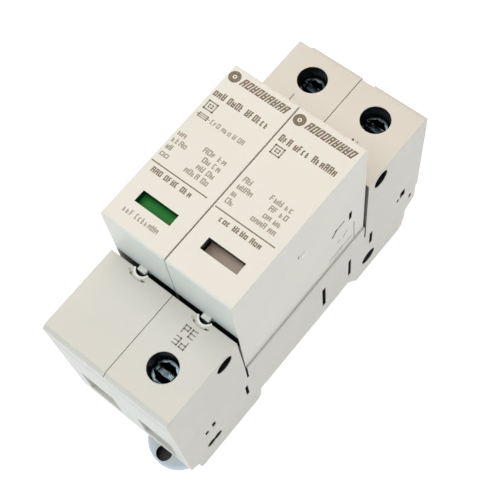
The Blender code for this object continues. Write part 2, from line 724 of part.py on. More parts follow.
def chassis_plate(name, side):
    """Plate that closes a module's rear, with slots for its two blades."""
    x = module_span(side)
    inset = CAP_WALL + GAP
    plate_x = (x[0] + inset, x[1] - inset)
    plate_y = (MODULE_LOW_Y + inset, MODULE_HIGH_Y - inset)
    item = box(name, plate_x, plate_y, (MODULE_BASE_Z + PLATE_LOW, MODULE_BASE_Z + PLATE_HIGH))
    slot_x = around(side * POLE_CENTRE, BLADE_THICKNESS / 2 + GAP)
    slots = []
    for y in (CONTACT_Y, -CONTACT_Y):
        slots.append(box("slot", slot_x, around(y, BLADE_WIDTH / 2 + GAP), (BLADE_TIP_Z, 40)))
    return item, slots


def left_chassis(surface):
    """Rear plate with the upright wall that carries the disconnect arm."""
    item, slots = chassis_plate("left_module_chassis", -1)
    plate_z = MODULE_BASE_Z + 1
    wall = box("wall", WALL_X, (ARM_PIVOT_Y - 3, 6.0), (plate_z, ARM_PIVOT_Z + 4.5))
    join(item, [wall])
    hole = rod("pivot_hole", "X", (ARM_PIVOT_Y, ARM_PIVOT_Z), PIN_R + GAP, WALL_X[0] + 0.4, -10, segments=16)
    cut(item, slots + [hole])
    return finish(item, surface)


def right_chassis(surface):
    """Rear plate with two ribs that cradle the spark gap."""
    item, slots = chassis_plate("right_module_chassis", 1)
    plate_z = MODULE_BASE_Z + 1
    ribs = []
    for y in (-4.0, 4.0):
        ribs.append(box("rib", around(POLE_CENTRE, 5.5), around(y, 0.8), (plate_z, GAP_TUBE_Z - 3)))
    join(item, ribs)
    cradle = rod("cradle", "Y", (POLE_CENTRE, GAP_TUBE_Z), GAP_TUBE_R + 0.4, -9, 9)
    cut(item, slots + [cradle])
    return finish(item, surface)


def varistor(surface):
    """Coated metal-oxide varistor block."""
    item = box("varistor", VARISTOR_X, VARISTOR_Y, VARISTOR_Z)
    bevel = item.modifiers.new("edges", "BEVEL")
    bevel.width = 1.2 * MM
    bevel.segments = 2
    item.data = evaluated_copy(item)
    item.modifiers.clear()
    return finish(item, surface)


def module_blade(name, side, end_sign, jog_x, top_z, surface):
    """Blade that plugs into a fork, bent aside inside the module to reach its component."""
    x = side * POLE_CENTRE
    jog_z = MODULE_BASE_Z + 3.4
    path = [(x, BLADE_TIP_Z), (x, jog_z), (jog_x, jog_z), (jog_x, top_z)]
    y = around(end_sign * CONTACT_Y, BLADE_WIDTH / 2)
    item = bent_strip(name, path, BLADE_THICKNESS, "Y", *y)
    return finish(item, surface)


def gap_blade(name, end_sign, surface):
    """Flat blade whose narrow riser touches the end of the spark gap."""
    low = CONTACT_Y - BLADE_WIDTH / 2
    high = CONTACT_Y + BLADE_WIDTH / 2
    riser = low + 2.4
    neck_z = MODULE_BASE_Z + 4.6
    top_z = GAP_TUBE_Z + 2
    wide = [(low, BLADE_TIP_Z), (high, BLADE_TIP_Z), (high, neck_z)]
    profile = wide + [(riser, neck_z + 2), (riser, top_z), (low, top_z)]
    mirrored = [(end_sign * y, z) for y, z in profile]
    item = prism(name, mirrored, "X", *around(POLE_CENTRE, BLADE_THICKNESS / 2))
    return finish(item, surface)


def electrode_tab(surface):
    """Tinned tab on the varistor's left face where the disconnect arm is soldered."""
    tab_x = around(VARISTOR_X[0] - 0.75, 0.45)
    item = box("varistor_tab", tab_x, (-1.5, 9.0), (ARM_PIVOT_Z - 5.5, ARM_PIVOT_Z + 5))
    return finish(item, surface)


def disconnect_arm(surface):
    """Bell-crank arm: its foot is soldered to the tab, its tip moves the flag."""
    middle_x = sum(ARM_X) / 2
    pivot = (ARM_PIVOT_Y, ARM_PIVOT_Z)
    tip_z = ARM_PIVOT_Z + ARM_LENGTH
    item = rod("disconnect_arm", "X", pivot, 2.6, *ARM_X)
    upright = box("upright", ARM_X, around(ARM_PIVOT_Y, 1.2), (ARM_PIVOT_Z, tip_z + 1.2))
    leg = box("leg", ARM_X, (ARM_PIVOT_Y, ARM_FOOT_Y), around(ARM_PIVOT_Z, 1.3))
    tip = rod("tip", "X", (ARM_PIVOT_Y, tip_z), 0.8, middle_x, ARM_TIP_X, segments=12)
    pad_x = (middle_x, VARISTOR_X[0] - 1.6)
    pad = box("pad", pad_x, (ARM_FOOT_Y - 3, ARM_FOOT_Y), around(ARM_PIVOT_Z, 1.3))
    join(item, [upright, leg, tip, pad])
    hole = rod("hole", "X", pivot, PIN_R + GAP, -20, 0, segments=16)
    cut(item, [hole])
    finish(item, surface)
    return set_origin(item, middle_x, ARM_PIVOT_Y, ARM_PIVOT_Z)


def arm_pivot_pin(surface):
    pivot = (ARM_PIVOT_Y, ARM_PIVOT_Z)
    item = rod("arm_pivot_pin", "X", pivot, PIN_R, WALL_X[0] + 0.8, ARM_TIP_X, segments=12)
    return finish(item, surface)


def status_flag(surface):
    """Two-colour slider behind the window, moved by the arm's tip between its two prongs."""
    centre = -MODULE_CENTRE
    item = box("status_flag", around(centre, WINDOW_HALF_WIDTH + 0.5), FLAG_Y, FLAG_Z)
    prong_z = (ARM_PIVOT_Z + ARM_LENGTH - 1.8, FLAG_Z[0] + 0.4)
    prongs = []
    for prong_y in FLAG_PRONGS:
        prongs.append(box("prong", (-12.2, -11.1), prong_y, prong_z))
    join(item, prongs)
    return finish(item, surface)


def status_plate(surface):
    """Plain plate on a post behind the right window."""
    x = around(POLE_CENTRE + 0.05, 5.4)
    y = (WINDOW_LOW_Y - 2.45, WINDOW_HIGH_Y + 1.45)
    item = box("status_plate", x, y, (FRONT_Z - 5, FRONT_Z - 4))
    post = box("post", (x[1] - 1.2, x[1]), (y[0], y[0] + 3), (MODULE_BASE_Z + 2.5, FRONT_Z - 4.5))
    join(item, [post])
    return finish(item, surface)


def spark_gap(body_surface, cap_surface):
    """Ceramic tube and its two metal end caps, lying along Y."""
    centre = (POLE_CENTRE, GAP_TUBE_Z)
    tube = rod("spark_gap_tube", "Y", centre, GAP_TUBE_R, -GAP_TUBE_HALF, GAP_TUBE_HALF)
    made = [finish(tube, body_surface)]
    for name, end in (("spark_gap_upper_cap", 1), ("spark_gap_lower_cap", -1)):
        cap = rod(name, "Y", centre, GAP_TUBE_R, *sorted((end * GAP_CAP_NEAR, end * GAP_CAP_FAR)))
        made.append(finish(cap, cap_surface))
    return made


def module_catch(name, side, surface):
    """Catch with a nose in the gap to the shoulder. It is pressed into the module to free it."""
    x = side * CATCH_X
    inside_y = MODULE_LOW_Y + CAP_WALL + GAP
    leaf_y = (inside_y, inside_y + CATCH_THICKNESS)
    leaf = box(name, around(x, CATCH_LEAF_HALF), leaf_y, (CATCH_LEAF_LOW_Z, CATCH_Z + 1.6))
    nose_y = (BAY_LOW_Y - 0.1, inside_y + CATCH_THICKNESS / 2)
    nose = box("nose", around(x, CATCH_NOSE_HALF), nose_y, (CATCH_Z - 1.2, CATCH_Z + 0.2))
    join(leaf, [nose])
    finish(leaf, surface)
    return set_origin(leaf, x, inside_y, CATCH_Z)


# ---- assembly --------------------------------------------------------------------------------

def build():
    clear_scene()
    light_plastic = material("light_plastic", (0.78, 0.75, 0.68), 0.45)
    inner_plastic = material("inner_plastic", (0.62, 0.60, 0.56), 0.55)
    foot_plastic = material("foot_plastic", (0.52, 0.54, 0.55), 0.45)
    steel = material("steel", (0.62, 0.62, 0.62), 0.3, 1.0)
    copper = material("copper", (0.75, 0.42, 0.28), 0.32, 1.0)
    tinned = material("tinned", (0.75, 0.75, 0.73), 0.28, 1.0)
    green = material("green", (0.03, 0.35, 0.08), 0.4)
    blue_coating = material("blue_coating", (0.05, 0.12, 0.3), 0.35)
    ceramic = material("ceramic", (0.85, 0.83, 0.8), 0.3)
    pinkish = material("pinkish", (0.52, 0.4, 0.34), 0.5)

    pole_housing("pole_housing_left", -1, light_plastic)
    pole_housing("pole_housing_right", 1, light_plastic)
    pole_partition(inner_plastic)
    hollow_rivet("housing_rivet_upper", RIVET_HIGH_Y, steel)
    hollow_rivet("housing_rivet_lower", RIVET_LOW_Y, steel)

    terminals = (("line", -1, SCREW_HIGH_Y), ("neutral", 1, SCREW_HIGH_Y), ("earth", 1, SCREW_LOW_Y))
    for name, side, y in terminals:
        terminal_screw(name + "_screw", side, y, steel)
        clamp_cage(name + "_clamp_cage", side, y, tinned)
    busbar("line_busbar", -1, 1, SCREW_HIGH_Y, CONTACT_Y - 4.4, copper)
    busbar("earth_busbar", 1, -1, SCREW_LOW_Y, -CONTACT_Y + 4.4, copper)
    neutral_busbar(copper)
    contact_fork("line_fork", -1, CONTACT_Y, tinned)
    contact_fork("left_neutral_fork", -1, -CONTACT_Y, tinned)
    contact_fork("right_neutral_fork", 1, CONTACT_Y, tinned)
    contact_fork("earth_fork", 1, -CONTACT_Y, tinned)

    latch_foot(foot_plastic)
    spring_z = (FOOT_LOW_Z + FOOT_HIGH_Z) / 2
    spring_start = (FOOT_X, PEG_HIGH_Y + 0.6, spring_z)
    spring_end = (FOOT_X, FOOT_WINDOW_HIGH_Y - 0.6, spring_z)
    helical_spring("latch_spring", spring_start, spring_end, 1.3, 0.25, 7, steel)

    module_cap("left_module_cap", -1, light_plastic)
    left_chassis(inner_plastic)
    module_blade("left_module_line_blade", -1, 1, -12.0, 40.0, tinned)
    module_blade("left_module_neutral_blade", -1, -1, -2.9, 46.0, tinned)
    varistor(blue_coating)
    electrode_tab(tinned)
    disconnect_arm(copper)
    arm_pivot_pin(steel)
    spring_start = (ARM_X[1] + 0.5, ARM_PIVOT_Y, ARM_PIVOT_Z)
    spring_end = (ARM_TIP_X - 0.2, ARM_PIVOT_Y, ARM_PIVOT_Z)
    helical_spring("disconnect_spring", spring_start, spring_end, 1.7, 0.2, 3, steel)
    status_flag(green)
    module_catch("left_module_catch", -1, light_plastic)

    module_cap("right_module_cap", 1, light_plastic)
    right_chassis(inner_plastic)
    gap_blade("right_module_neutral_blade", 1, tinned)
    gap_blade("right_module_earth_blade", -1, tinned)
    spark_gap(ceramic, tinned)
    status_plate(pinkish)
    module_catch("right_module_catch", 1, light_plastic)


build()
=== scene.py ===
"""Looks of the two-pole plug-in surge protector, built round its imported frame.

Moulded and metal parts are copies of their CAD nodes with rounded edges and procedural surfaces.
The printing is laid out from the corners of the module caps and of the shoulders. It is generic:
rows of made-up characters where a maker prints words, and the usual terminal letters.
Sizes are in millimetres times MM, because the frame is in metres.
"""

import json
import math
import random

import bmesh
import bpy
from mathutils import Matrix, Vector

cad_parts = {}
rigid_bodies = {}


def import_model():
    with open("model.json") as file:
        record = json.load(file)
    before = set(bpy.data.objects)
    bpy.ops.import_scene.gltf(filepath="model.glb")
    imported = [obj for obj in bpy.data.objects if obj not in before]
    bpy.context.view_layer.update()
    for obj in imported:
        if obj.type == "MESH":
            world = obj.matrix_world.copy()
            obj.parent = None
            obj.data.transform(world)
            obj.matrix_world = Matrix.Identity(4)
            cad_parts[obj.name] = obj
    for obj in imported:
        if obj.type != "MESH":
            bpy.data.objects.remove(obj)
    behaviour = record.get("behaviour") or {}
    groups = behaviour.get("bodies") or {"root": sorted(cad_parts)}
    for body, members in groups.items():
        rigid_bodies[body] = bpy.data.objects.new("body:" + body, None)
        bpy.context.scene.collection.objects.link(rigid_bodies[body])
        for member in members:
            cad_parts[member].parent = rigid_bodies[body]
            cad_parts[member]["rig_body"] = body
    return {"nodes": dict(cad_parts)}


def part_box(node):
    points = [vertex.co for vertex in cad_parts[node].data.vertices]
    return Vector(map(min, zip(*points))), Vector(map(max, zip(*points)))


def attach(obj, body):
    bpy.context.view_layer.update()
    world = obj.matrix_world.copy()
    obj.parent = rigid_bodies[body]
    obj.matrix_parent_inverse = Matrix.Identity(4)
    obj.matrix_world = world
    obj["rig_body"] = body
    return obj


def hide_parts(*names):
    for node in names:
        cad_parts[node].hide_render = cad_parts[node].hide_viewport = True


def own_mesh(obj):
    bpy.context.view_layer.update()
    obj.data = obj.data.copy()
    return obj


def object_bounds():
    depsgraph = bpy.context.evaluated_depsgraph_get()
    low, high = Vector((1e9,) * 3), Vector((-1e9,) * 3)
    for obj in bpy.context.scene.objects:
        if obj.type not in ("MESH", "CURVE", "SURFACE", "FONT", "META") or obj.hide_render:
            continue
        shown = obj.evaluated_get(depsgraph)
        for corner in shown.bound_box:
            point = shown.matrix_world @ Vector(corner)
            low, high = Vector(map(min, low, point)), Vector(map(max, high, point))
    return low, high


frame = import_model()
cad_low, cad_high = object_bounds()

MM = 0.001

# ---- camera and light ------------------------------------------------------------------------

CAMERA_PLACE = Vector((75.5, -63.7, 253.6)) * MM
CAMERA_AIM = Vector((6.4, -12.4, 40.0)) * MM
CAMERA_UP = Vector((-0.567, 0.740, 0.362))
CAMERA_LENS = 74.3
CAMERA_SHIFT = (0.05, 0.10)

FLOOR_HALF = 30.0              # metres

# ---- geometry --------------------------------------------------------------------------------

WELD = 0.002 * MM              # the frame's split corners are joined within this distance
FLAT_ANGLE = math.radians(0.8)
EDGE_ANGLE = math.radians(40)  # sharper corners than this are rounded
INK_HEIGHT = 0.015 * MM        # printed marks stand this proud
INK_SUNK = 0.05 * MM


# ---- node helpers ----------------------------------------------------------------------------

def add(tree, kind, settings=None, **sockets):
    """Add a shader node. A socket's value is a number, a colour or another node's output."""
    node = tree.nodes.new("ShaderNode" + kind)
    for name, value in (settings or {}).items():
        setattr(node, name, value)
    for name, value in sockets.items():
        socket = node.inputs[name.replace("_", " ")]
        if isinstance(value, bpy.types.NodeSocket):
            tree.links.new(value, socket)
        else:
            socket.default_value = value
    return node


def rgba(colour):
    return (*colour, 1.0)


def shaded(colour, factor):
    return tuple(channel * factor for channel in colour)


def mix_colour(tree, factor, first, second, mode="MIX"):
    node = tree.nodes.new("ShaderNodeMix")
    node.data_type = "RGBA"
    node.blend_type = mode
    colours = [socket for socket in node.inputs if socket.type == "RGBA"]
    for socket, value in ((node.inputs[0], factor), (colours[0], first), (colours[1], second)):
        if isinstance(value, bpy.types.NodeSocket):
            tree.links.new(value, socket)
        elif socket.type == "RGBA":
            socket.default_value = rgba(value)
        else:
            socket.default_value = value
    return [socket for socket in node.outputs if socket.type == "RGBA"][0]


def noise(tree, coords, scale, detail=2.0, roughness=0.5):
    node = add(tree, "TexNoise", Vector=coords, Scale=scale, Detail=detail, Roughness=roughness)
    return node.outputs[0]


def remap(tree, value, low, high, to_low=0.0, to_high=1.0):
    node = add(tree, "MapRange", Value=value, From_Min=low, From_Max=high, To_Min=to_low, To_Max=to_high)
    return node.outputs[0]


def combine(tree, operation, first, second):
    node = add(tree, "Math", {"operation": operation})
    for socket, value in zip(node.inputs, (first, second)):
        if isinstance(value, bpy.types.NodeSocket):
            tree.links.new(value, socket)
        else:
            socket.default_value = value
    return node.outputs[0]


def edge_mask(tree, radius):
    """One along edges of about this radius, and zero on flat stretches."""
    rounded = add(tree, "Bevel", {"samples": 6}, Radius=radius).outputs[0]
    true = add(tree, "NewGeometry").outputs["Normal"]
    alike = add(tree, "VectorMath", {"operation": "DOT_PRODUCT"})
    tree.links.new(rounded, alike.inputs[0])
    tree.links.new(true, alike.inputs[1])
    return remap(tree, alike.outputs["Value"], 0.995, 0.85)


def bump(tree, shader, height, distance, strength=1.0):
    node = add(tree, "Bump", Height=height, Distance=distance, Strength=strength)
    tree.links.new(node.outputs[0], shader.inputs["Normal"])


def new_surface(name, roughness, metallic=0.0, **sockets):
    made = bpy.data.materials.new(name)
    made.use_nodes = True
    tree = made.node_tree
    shader = tree.nodes["Principled BSDF"]
    shader.inputs["Roughness"].default_value = roughness
    shader.inputs["Metallic"].default_value = metallic
    for socket, value in sockets.items():
        shader.inputs[socket.replace("_", " ")].default_value = value
    coords = add(tree, "TexCoord").outputs["Object"]
    return made, tree, shader, coords


# ---- surfaces --------------------------------------------------------------------------------

def moulded_plastic(name, colour, roughness=0.42, grain=0.5):
    """Matt moulded plastic: slow drift of tone, fine spark-eroded grain and lighter edges."""
    made, tree, shader, coords = new_surface(name, roughness, Specular_IOR_Level=0.45)
    drift = remap(tree, noise(tree, coords, 55, 3), 0.3, 0.7)
    body = mix_colour(tree, drift, shaded(colour, 0.965), colour)
    speck = remap(tree, noise(tree, coords, 1900, 2), 0.66, 0.78, 0.0, 0.22)
    body = mix_colour(tree, speck, body, shaded(colour, 0.80))
    scuff = remap(tree, noise(tree, coords, 420, 4), 0.42, 0.68)
    worn = combine(tree, "MULTIPLY", edge_mask(tree, 0.35 * MM), scuff)
    lighter = tuple(min(1.0, channel * 1.08 + 0.02) for channel in colour)
    body = mix_colour(tree, worn, body, lighter)
    tree.links.new(body, shader.inputs["Base Color"])
    sheen = remap(tree, noise(tree, coords, 800, 3), 0.3, 0.7, roughness - 0.05, roughness + 0.07)
    tree.links.new(sheen, shader.inputs["Roughness"])
    fine = noise(tree, coords, 7000, 2)
    coarse = noise(tree, coords, 1400, 2)
    height = combine(tree, "ADD", fine, combine(tree, "MULTIPLY", coarse, 0.8))
    bump(tree, shader, height, 0.006 * MM, grain)
    return made


def shadow_plastic(name, colour):
    """Painted shade: dark satin plastic that lines a well, a window's edge or another hollow."""
    made, tree, shader, coords = new_surface(name, 0.4)
    drift = remap(tree, noise(tree, coords, 900, 3), 0.3, 0.7)
    body = mix_colour(tree, drift, shaded(colour, 0.6), colour)
    tree.links.new(body, shader.inputs["Base Color"])
    bump(tree, shader, noise(tree, coords, 5000, 2), 0.01 * MM, 0.5)
    return made


def metal(name, colour, roughness, scratch=0.5, patina=None, streaks=(1, 1, 9)):
    """Bare or plated metal with fine drawn streaks, scratches and a patchy tone."""
    made, tree, shader, coords = new_surface(name, roughness, 1.0)
    patch = remap(tree, noise(tree, coords, 260, 4), 0.35, 0.65)
    body = mix_colour(tree, patch, colour, patina or shaded(colour, 0.78))
    worn = combine(tree, "MULTIPLY", edge_mask(tree, 0.2 * MM), 0.7)
    body = mix_colour(tree, worn, body, tuple(min(1.0, channel * 1.25) for channel in colour))
    tree.links.new(body, shader.inputs["Base Color"])
    drawn = add(tree, "Mapping", Vector=coords, Scale=streaks).outputs[0]
    streak = noise(tree, drawn, 900, 3)
    rough = remap(tree, streak, 0.3, 0.7, roughness - 0.08, roughness + 0.14)
    tree.links.new(rough, shader.inputs["Roughness"])
    bump(tree, shader, streak, 0.012 * MM, scratch)
    return made


def turned_steel(name, node):
    """Plated screw steel with turning rings about the screw's own axis."""
    made, tree, shader, coords = new_surface(name, 0.28, 1.0)
    low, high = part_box(node)
    axis = (low + high) / 2
    centred = add(tree, "Mapping", Vector=coords, Location=-axis).outputs[0]
    rings = add(tree, "TexWave", {"wave_type": "RINGS", "rings_direction": "Z"}, Vector=centred, Scale=1100.0)
    rings.inputs["Distortion"].default_value = 1.5
    patch = remap(tree, noise(tree, coords, 500, 4), 0.35, 0.65)
    body = mix_colour(tree, patch, (0.025, 0.045, 0.058), (0.28, 0.38, 0.45))
    worn = combine(tree, "MULTIPLY", edge_mask(tree, 0.25 * MM), 0.8)
    body = mix_colour(tree, worn, body, (0.55, 0.60, 0.66))
    tree.links.new(body, shader.inputs["Base Color"])
    rough = remap(tree, noise(tree, coords, 1500, 3), 0.3, 0.7, 0.18, 0.42)
    tree.links.new(rough, shader.inputs["Roughness"])
    height = combine(tree, "ADD", rings.outputs[1], noise(tree, coords, 1200, 3))
    bump(tree, shader, height, 0.02 * MM, 0.7)
    return made


def printing_ink(name, colour):
    """Pad-printed ink, slightly uneven in cover; the same surface draws lines of painted shade."""
    made, tree, shader, coords = new_surface(name, 0.55)
    cover = remap(tree, noise(tree, coords, 2600, 3), 0.35, 0.7)
    body = mix_colour(tree, cover, colour, tuple(min(1.0, channel * 1.5 + 0.03) for channel in colour))
    tree.links.new(body, shader.inputs["Base Color"])
    bump(tree, shader, noise(tree, coords, 6000, 2), 0.003 * MM, 0.4)
    return made


def indicator(name, colour, dark):
    """Smooth coloured plastic of a status flag, with faint flow marks."""
    made, tree, shader, coords = new_surface(name, 0.5, Specular_IOR_Level=0.25)
    flow = add(tree, "Mapping", Vector=coords, Scale=(0.25, 1, 1)).outputs[0]
    drift = remap(tree, noise(tree, flow, 420, 4), 0.3, 0.7)
    body = mix_colour(tree, drift, dark, colour)
    tree.links.new(body, shader.inputs["Base Color"])
    bump(tree, shader, noise(tree, coords, 2600, 2), 0.008 * MM, 0.5)
    return made


def dipped_coating(name, colour):
    """Glossy epoxy dip with an orange-peel surface and thinner, lighter edges."""
    made, tree, shader, coords = new_surface(name, 0.25, Coat_Weight=0.4)
    drift = remap(tree, noise(tree, coords, 180, 3), 0.3, 0.7)
    body = mix_colour(tree, drift, shaded(colour, 0.7), colour)
    thin = edge_mask(tree, 1.0 * MM)
    body = mix_colour(tree, thin, body, tuple(min(1.0, channel * 1.6 + 0.03) for channel in colour))
    tree.links.new(body, shader.inputs["Base Color"])
    bump(tree, shader, noise(tree, coords, 700, 2), 0.06 * MM, 0.5)
    return made


def fired_ceramic(name, colour):
    """White ceramic with fine pits and a few brown firing specks."""
    made, tree, shader, coords = new_surface(name, 0.3)
    speck = remap(tree, noise(tree, coords, 1500, 2), 0.70, 0.76)
    body = mix_colour(tree, speck, colour, (0.45, 0.36, 0.28))
    tree.links.new(body, shader.inputs["Base Color"])
    bump(tree, shader, noise(tree, coords, 3500, 3), 0.02 * MM, 0.4)
    return made


def floor_surface():
    made, tree, shader, coords = new_surface("floor_paper", 0.9)
    drift = remap(tree, noise(tree, coords, 3, 2), 0.3, 0.7)
    body = mix_colour(tree, drift, (0.51, 0.515, 0.52), (0.55, 0.55, 0.55))
    tree.links.new(body, shader.inputs["Base Color"])
    shader.inputs["Emission Color"].default_value = (1.0, 1.0, 1.0, 1.0)
    shader.inputs["Emission Strength"].default_value = 0.75
    return made


# ---- shapes ----------------------------------------------------------------------------------

def keep_object(name, shape, body):
    """Turn a bmesh into a named piece that rides on a body."""
    mesh = bpy.data.meshes.new(name)
    shape.to_mesh(mesh)
    shape.free()
    item = bpy.data.objects.new(name, mesh)
    bpy.context.scene.collection.objects.link(item)
    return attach(item, body)


def smooth(item):
    item.data.shade_smooth()
    item.data.set_sharp_from_angle(angle=EDGE_ANGLE)
    even = item.modifiers.new("even_shading", "WEIGHTED_NORMAL")
    even.keep_sharp = True
    even.weight = 90
    return item


def softened(node, edge, surface, stays_sharp=None):
    """A copy of a CAD node with its outward edges rounded, standing for the node."""
    source = frame["nodes"][node]
    shape = bmesh.new()
    shape.from_mesh(source.data)
    bmesh.ops.remove_doubles(shape, verts=shape.verts, dist=WELD)
    bmesh.ops.dissolve_limit(shape, angle_limit=FLAT_ANGLE, verts=shape.verts, edges=shape.edges)
    corners = [item for item in shape.edges if item.is_convex and item.calc_face_angle(0) > EDGE_ANGLE]
    if stays_sharp:
        corners = [item for item in corners if not stays_sharp((item.verts[0].co + item.verts[1].co) / 2)]
    bmesh.ops.bevel(shape, geom=corners, offset=edge, segments=3, profile=0.5, affect="EDGES")
    made = keep_object(node + "_fine", shape, source["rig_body"])
    made.data.materials.clear()
    made.data.materials.append(surface)
    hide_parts(node)
    return smooth(made)


def paint_faces(item, surface, belongs):
    """Give the faces that belongs() picks, by centre and normal, another surface."""
    item.data.materials.append(surface)
    index = len(item.data.materials) - 1
    for face in item.data.polygons:
        if belongs(face.center, face.normal):
            face.material_index = index


# ---- printing --------------------------------------------------------------------------------

TALL_SHARE = 0.45              # share of the made-up characters as tall as their row
LOW_SIGN = 0.76                # height of the other ones, as a share of the row
CLOSED_SHARE = 0.7             # share of the characters with a second stem
WORD_GAP = 0.6                 # space between groups, in character widths
FUSE_LEFT = 1.4
FUSE_RIGHT = 3.6
FUSE_TOP = 13.65
FUSE_FOOT = 14.55
RATINGS_TOP = 19.3
RATINGS_PITCH = 1.95
RATINGS_HEIGHT = 1.35


class Sheet:
    """Printed or moulded marks, and marks of painted shade or highlight, on a flat face. Places are
    millimetres right and down on it.
    """

    def __init__(self, corner, right=(1, 0, 0), up=(0, 1, 0), height=INK_HEIGHT):
        self.corner = Vector(corner)
        self.right = Vector(right) * MM
        self.down = Vector(up) * -MM
        self.out = Vector(right).cross(Vector(up))
        self.height = height
        self.shape = bmesh.new()

    def outline(self, points):
        """A closed block over an outline. The outline may turn either way round."""
        pairs = zip(points, points[1:] + points[:1])
        if sum((x2 - x1) * (y2 + y1) for (x1, y1), (x2, y2) in pairs) < 0:
            points = points[::-1]
        rings = []
        for level in (-INK_SUNK, self.height):
            base = self.corner + self.out * level
            rings.append([self.shape.verts.new(base + self.right * x + self.down * y) for x, y in points])
        count = len(points)
        self.shape.faces.new(rings[0][::-1])
        self.shape.faces.new(rings[1])
        for index in range(count):
            after = (index + 1) % count
            self.shape.faces.new((rings[0][index], rings[0][after], rings[1][after], rings[1][index]))

    def bar(self, across, down, width, height, lean=0.0):
        """A block whose top left corner is given. Its top can lean to the right."""
        points = [(across + lean, down), (across + width + lean, down)]
        points += [(across + width, down + height), (across, down + height)]
        self.outline(points)

    def line(self, start, end, thickness):
        first = Vector(start)
        second = Vector(end)
        along = (second - first).normalized() * thickness / 2
        side = Vector((-along.y, along.x))
        points = [first - along + side, second + along + side, second + along - side, first - along - side]
        self.outline([tuple(point) for point in points])

    def ring(self, across, down, outer, inner, sides=40, start=0.0, sweep=2 * math.pi):
        """A ring, or a stretch of one, made of short blocks."""
        for index in range(sides):
            turns = [start + sweep * (index + step) / sides for step in (0, 1)]
            far = [(across + outer * math.cos(turn), down + outer * math.sin(turn)) for turn in turns]
            near = [(across + inner * math.cos(turn), down + inner * math.sin(turn)) for turn in turns[::-1]]
            self.outline(far + near)

    def sign(self, across, down, width, height, stroke, lean, pick, bold):
        """A made-up character: a stem and some of the other sides of its cell."""
        tall = height if bold or pick.random() < TALL_SHARE else height * LOW_SIGN
        top = down + height - tall
        tilt = lean / height
        self.bar(across, top, stroke, tall, tilt * tall)
        level_tops = (top, top + (tall - stroke) * 0.5, down + height - stroke)
        for level in pick.sample(level_tops, 2):
            shift = tilt * (down + height - stroke - level)
            self.bar(across + stroke + shift, level, width - 2 * stroke, stroke * 0.85, tilt * stroke)
        if bold or pick.random() < CLOSED_SHARE:
            self.bar(across + width - stroke, top, stroke, tall, tilt * tall)

    def words(self, across, down, width, height, stroke, groups, lean=0.0, bold=False):
        """Made-up characters in groups, which stand for a line of print as wide as given."""
        pick = random.Random(str((across, down, groups)))
        cell = width / (sum(groups) + WORD_GAP * (len(groups) - 1))
        place = across
        for count in groups:
            for _ in range(count):
                self.sign(place, down, cell - stroke * 0.55, height, stroke, lean, pick, bold)
                place += cell
            place += cell * WORD_GAP

    def finish(self, name, body, surface):
        made = keep_object(name, self.shape, body)
        made.data.materials.append(surface)
        return made


def letter_strokes(letter):
    """Strokes of a terminal letter in a cell one wide and one high, from the top left corner."""
    stem = ((0, 0), (0, 1))
    foot = ((0, 1), (0.95, 1))
    top = ((0, 0), (0.95, 0))
    middle = ((0, 0.5), (0.9, 0.5))
    if letter == "L":
        return [stem, foot]
    if letter == "N":
        return [stem, ((0, 0), (0.95, 1)), ((0.95, 0), (0.95, 1))]
    if letter == "E":
        return [stem, foot, top, middle]
    return [stem, top, middle, ((0.95, 0), (0.95, 0.5))]


def write(sheet, text, across, down, width, height, weight, turned=False):
    """Terminal letters, upright or turned upside down about the middle of the word."""
    pitch = width * 1.52
    middle = Vector((across + (pitch * (len(text) - 1) + width) / 2, down + height / 2))
    for number, letter in enumerate(text):
        for start, end in letter_strokes(letter):
            points = []
            for x, y in (start, end):
                point = Vector((across + number * pitch + x * width, down + y * height))
                if turned:
                    point = middle * 2 - point
                points.append(point)
            sheet.line(points[0], points[1], weight)


def front_sheet(low, high):
    return Sheet((low.x, high.y, high.z))


def print_symbols(sheet, left, has_fuse_row):
    """The double-insulation square and, on the left module, the back-up fuse row."""
    for inset, thickness in ((0.15, 0.34), (0.85, 0.26)):
        near = left + inset
        far = left + 2.6 - inset
        box = [(near, 10.1 + inset), (far, 10.1 + inset), (far, 12.5 - inset), (near, 12.5 - inset)]
        for start, end in zip(box, box[1:] + box[:1]):
            sheet.line(start, end, thickness)
    if has_fuse_row:
        for level in (FUSE_TOP, FUSE_FOOT):
            sheet.line((FUSE_LEFT, level), (FUSE_RIGHT, level), 0.24)
        for across in (FUSE_LEFT, FUSE_RIGHT):
            sheet.line((across, FUSE_TOP), (across, FUSE_FOOT), 0.24)
        sheet.line((0.9, 14.1), (4.2, 14.1), 0.22)
        sheet.words(4.7, 13.45, 9.0, 1.25, 0.22, (3, 3, 1, 2))


# each rating row: width and signs of its label, width and groups of signs of its value
RATING_ROWS = ((2.2, 2, 6.0, (3, 2)), (3.9, 4, 4.7, (2, 2)), (1.6, 2, 4.7, (2, 2)), (2.3, 2, 6.3, (4, 2)))


